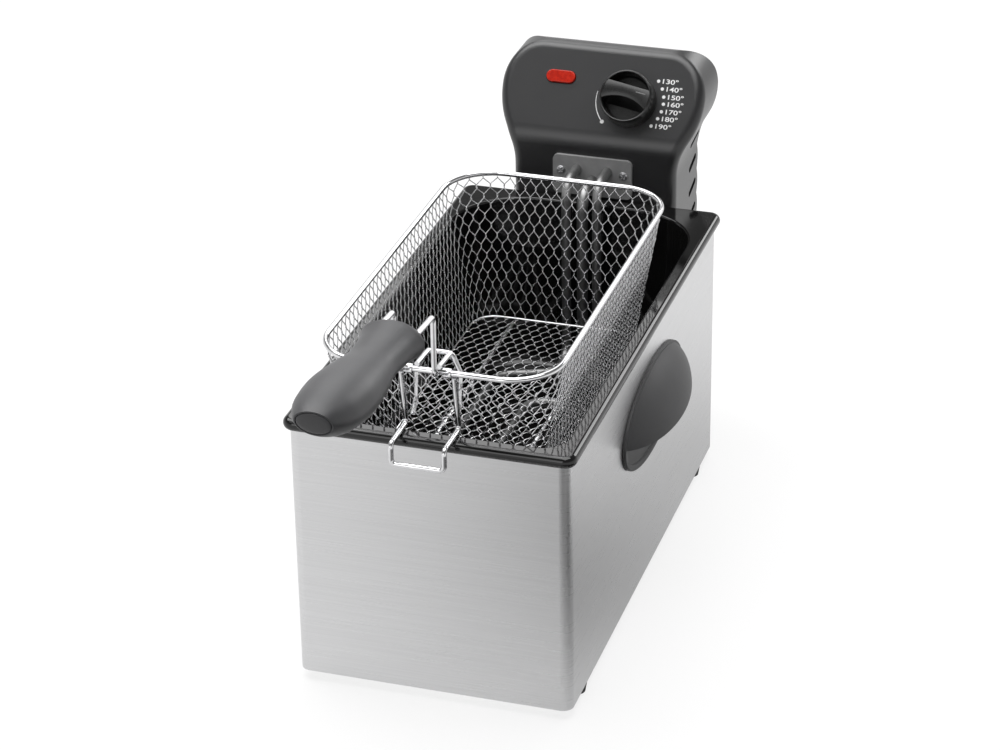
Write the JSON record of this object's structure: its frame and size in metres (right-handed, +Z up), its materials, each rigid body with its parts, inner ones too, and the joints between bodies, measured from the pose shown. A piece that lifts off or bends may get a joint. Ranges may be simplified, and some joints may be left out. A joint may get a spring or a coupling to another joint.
{
  "type": "deep fryer",
  "caption": "Free-standing deep fryer: steel casing, lift-out oil pot, hang-on head with heater and thermostat knob, and a wire basket with a folding handle.",
  "frame": {"origin": "middle of the overall footprint, at the underside of the feet", "axes": "+Z up, -Y towards the front with the basket's handle, +X to the user's right"},
  "size_m": [0.225, 0.6188, 0.306],
  "materials": {
    "steel": "satin, brushed crosswise",
    "zinc": "plain zinc-coated sheet",
    "foot_rubber": "matt",
    "grey_plastic": "soft matt",
    "screw_steel": "plain",
    "enamel": "glossy black enamel",
    "black_plastic": "fine grain, half matt",
    "knob_plastic": "half gloss",
    "heater_steel": "dull",
    "switch_plastic": "plain",
    "red_lens": "clear-dyed, glossy",
    "lamp_glass": "clear",
    "brass_shaft": "turned",
    "red_button": "glossy",
    "chrome_wire": "bright plated"
  },
  "bodies": {
    "housing": {"outer_casing": "steel", "base_plate": "zinc", "feet": "foot_rubber", "left_carry_handle": "grey_plastic", "right_carry_handle": "grey_plastic", "carry_handle_screws": "screw_steel", "head_guide": "zinc"},
    "pot": {"oil_pot": "enamel"},
    "head": {"head_front_shell": "black_plastic", "head_rear_cover": "black_plastic", "heater_plate": "heater_steel", "heater_plate_screws": "screw_steel", "heating_element": "heater_steel", "sensor_tube": "heater_steel", "element_clip": "heater_steel", "thermostat": "switch_plastic", "indicator_lens": "red_lens", "neon_lamp": "lamp_glass", "safety_cutout": "switch_plastic", "terminal_block": "switch_plastic", "interlock_switch": "switch_plastic", "cable_gland": "black_plastic", "rear_cover_screws": "screw_steel"},
    "knob": {"thermostat_knob": "knob_plastic", "thermostat_shaft": "brass_shaft"},
    "reset": {"reset_button": "red_button"},
    "plunger": {"switch_plunger": "switch_plastic"},
    "basket": {"basket_rim": "chrome_wire", "net_front": "chrome_wire", "net_rear": "chrome_wire", "net_right": "chrome_wire", "net_left": "chrome_wire", "net_corners": "chrome_wire", "net_floor": "chrome_wire", "floor_wires": "chrome_wire", "basket_hook": "chrome_wire", "handle_bracket": "chrome_wire"},
    "handle": {"handle_wires": "chrome_wire", "handle_grip": "grey_plastic", "grip_cap": "grey_plastic"}
  },
  "joints": [
    {"name": "pot_lift", "type": "slide", "parent": "housing", "child": "pot", "axis": [0, 0, 1], "range_m": [0, 0.18]},
    {"name": "head_lift", "type": "slide", "parent": "pot", "child": "head", "axis": [0, 0, 1], "range_m": [0, 0.16]},
    {"name": "basket_lift", "type": "slide", "parent": "head", "child": "basket", "axis": [0, 0, 1], "range_m": [0, 0.13]},
    {"name": "handle_fold", "type": "hinge", "parent": "basket", "child": "handle", "pos_m": [0, -0.12092, 0.23], "axis": [-1, 0, 0], "range_deg": [0, 120]},
    {"name": "knob_turn", "type": "hinge", "parent": "head", "child": "knob", "pos_m": [0.0215, 0.25588, 0.25548], "axis": [0, -0.8192, 0.5736], "range_deg": [-60, 206]},
    {"name": "reset_press", "type": "slide", "parent": "head", "child": "reset", "axis": [0, -1, 0], "range_m": [0, 0.002], "stiffness_N_per_m": 400},
    {"name": "plunger_press", "type": "slide", "parent": "head", "child": "plunger", "axis": [0, 0, 1], "range_m": [0, 0.0015], "stiffness_N_per_m": 200}
  ]
}
